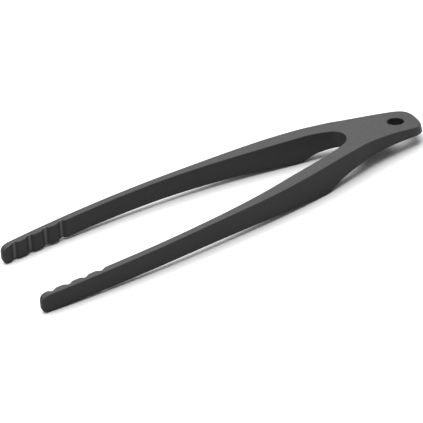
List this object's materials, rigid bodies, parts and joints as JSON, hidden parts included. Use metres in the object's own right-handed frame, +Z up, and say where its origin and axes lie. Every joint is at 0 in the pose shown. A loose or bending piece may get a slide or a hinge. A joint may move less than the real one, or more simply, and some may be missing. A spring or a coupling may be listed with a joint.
{
  "type": "kitchen tongs",
  "caption": "One-piece silicone kitchen tongs: two sprung arms with ridged tips, joined by a forked yoke with a hanging tab.",
  "frame": {"origin": "centre of the overall box in X and Y, at the height of the table that the tips and the belly rest on", "axes": "+X along the tool from the tips to the hanging tab, +Y towards the left arm, +Z up"},
  "size_m": [0.311, 0.0984, 0.021],
  "materials": {
    "silicone": "matte moulded silicone",
    "spring_steel": "rolled spring strip",
    "nylon_core": "glass-filled nylon",
    "rivet_steel": "stainless rivet"
  },
  "bodies": {
    "yoke": {"yoke_cover": "silicone", "spring_bend": "spring_steel", "tab_core": "nylon_core", "tab_rivet": "rivet_steel"},
    "left_arm": {"left_arm_cover": "silicone", "left_spring_leg": "spring_steel", "left_arm_core": "nylon_core", "left_arm_rivets": "rivet_steel"},
    "right_arm": {"right_arm_cover": "silicone", "right_spring_leg": "spring_steel", "right_arm_core": "nylon_core", "right_arm_rivets": "rivet_steel"}
  },
  "joints": [
    {"name": "left_arm_flex", "type": "hinge", "parent": "yoke", "child": "left_arm", "pos_m": [0.0845, 0.02352, 0.0133], "axis": [0, 0, 1], "range_deg": [0, 9.5], "stiffness_Nm_per_rad": 5.4},
    {"name": "right_arm_flex", "type": "hinge", "parent": "yoke", "child": "right_arm", "pos_m": [0.0845, -0.02352, 0.0133], "axis": [0, 0, -1], "range_deg": [0, 9.5], "stiffness_Nm_per_rad": 5.4}
  ]
}
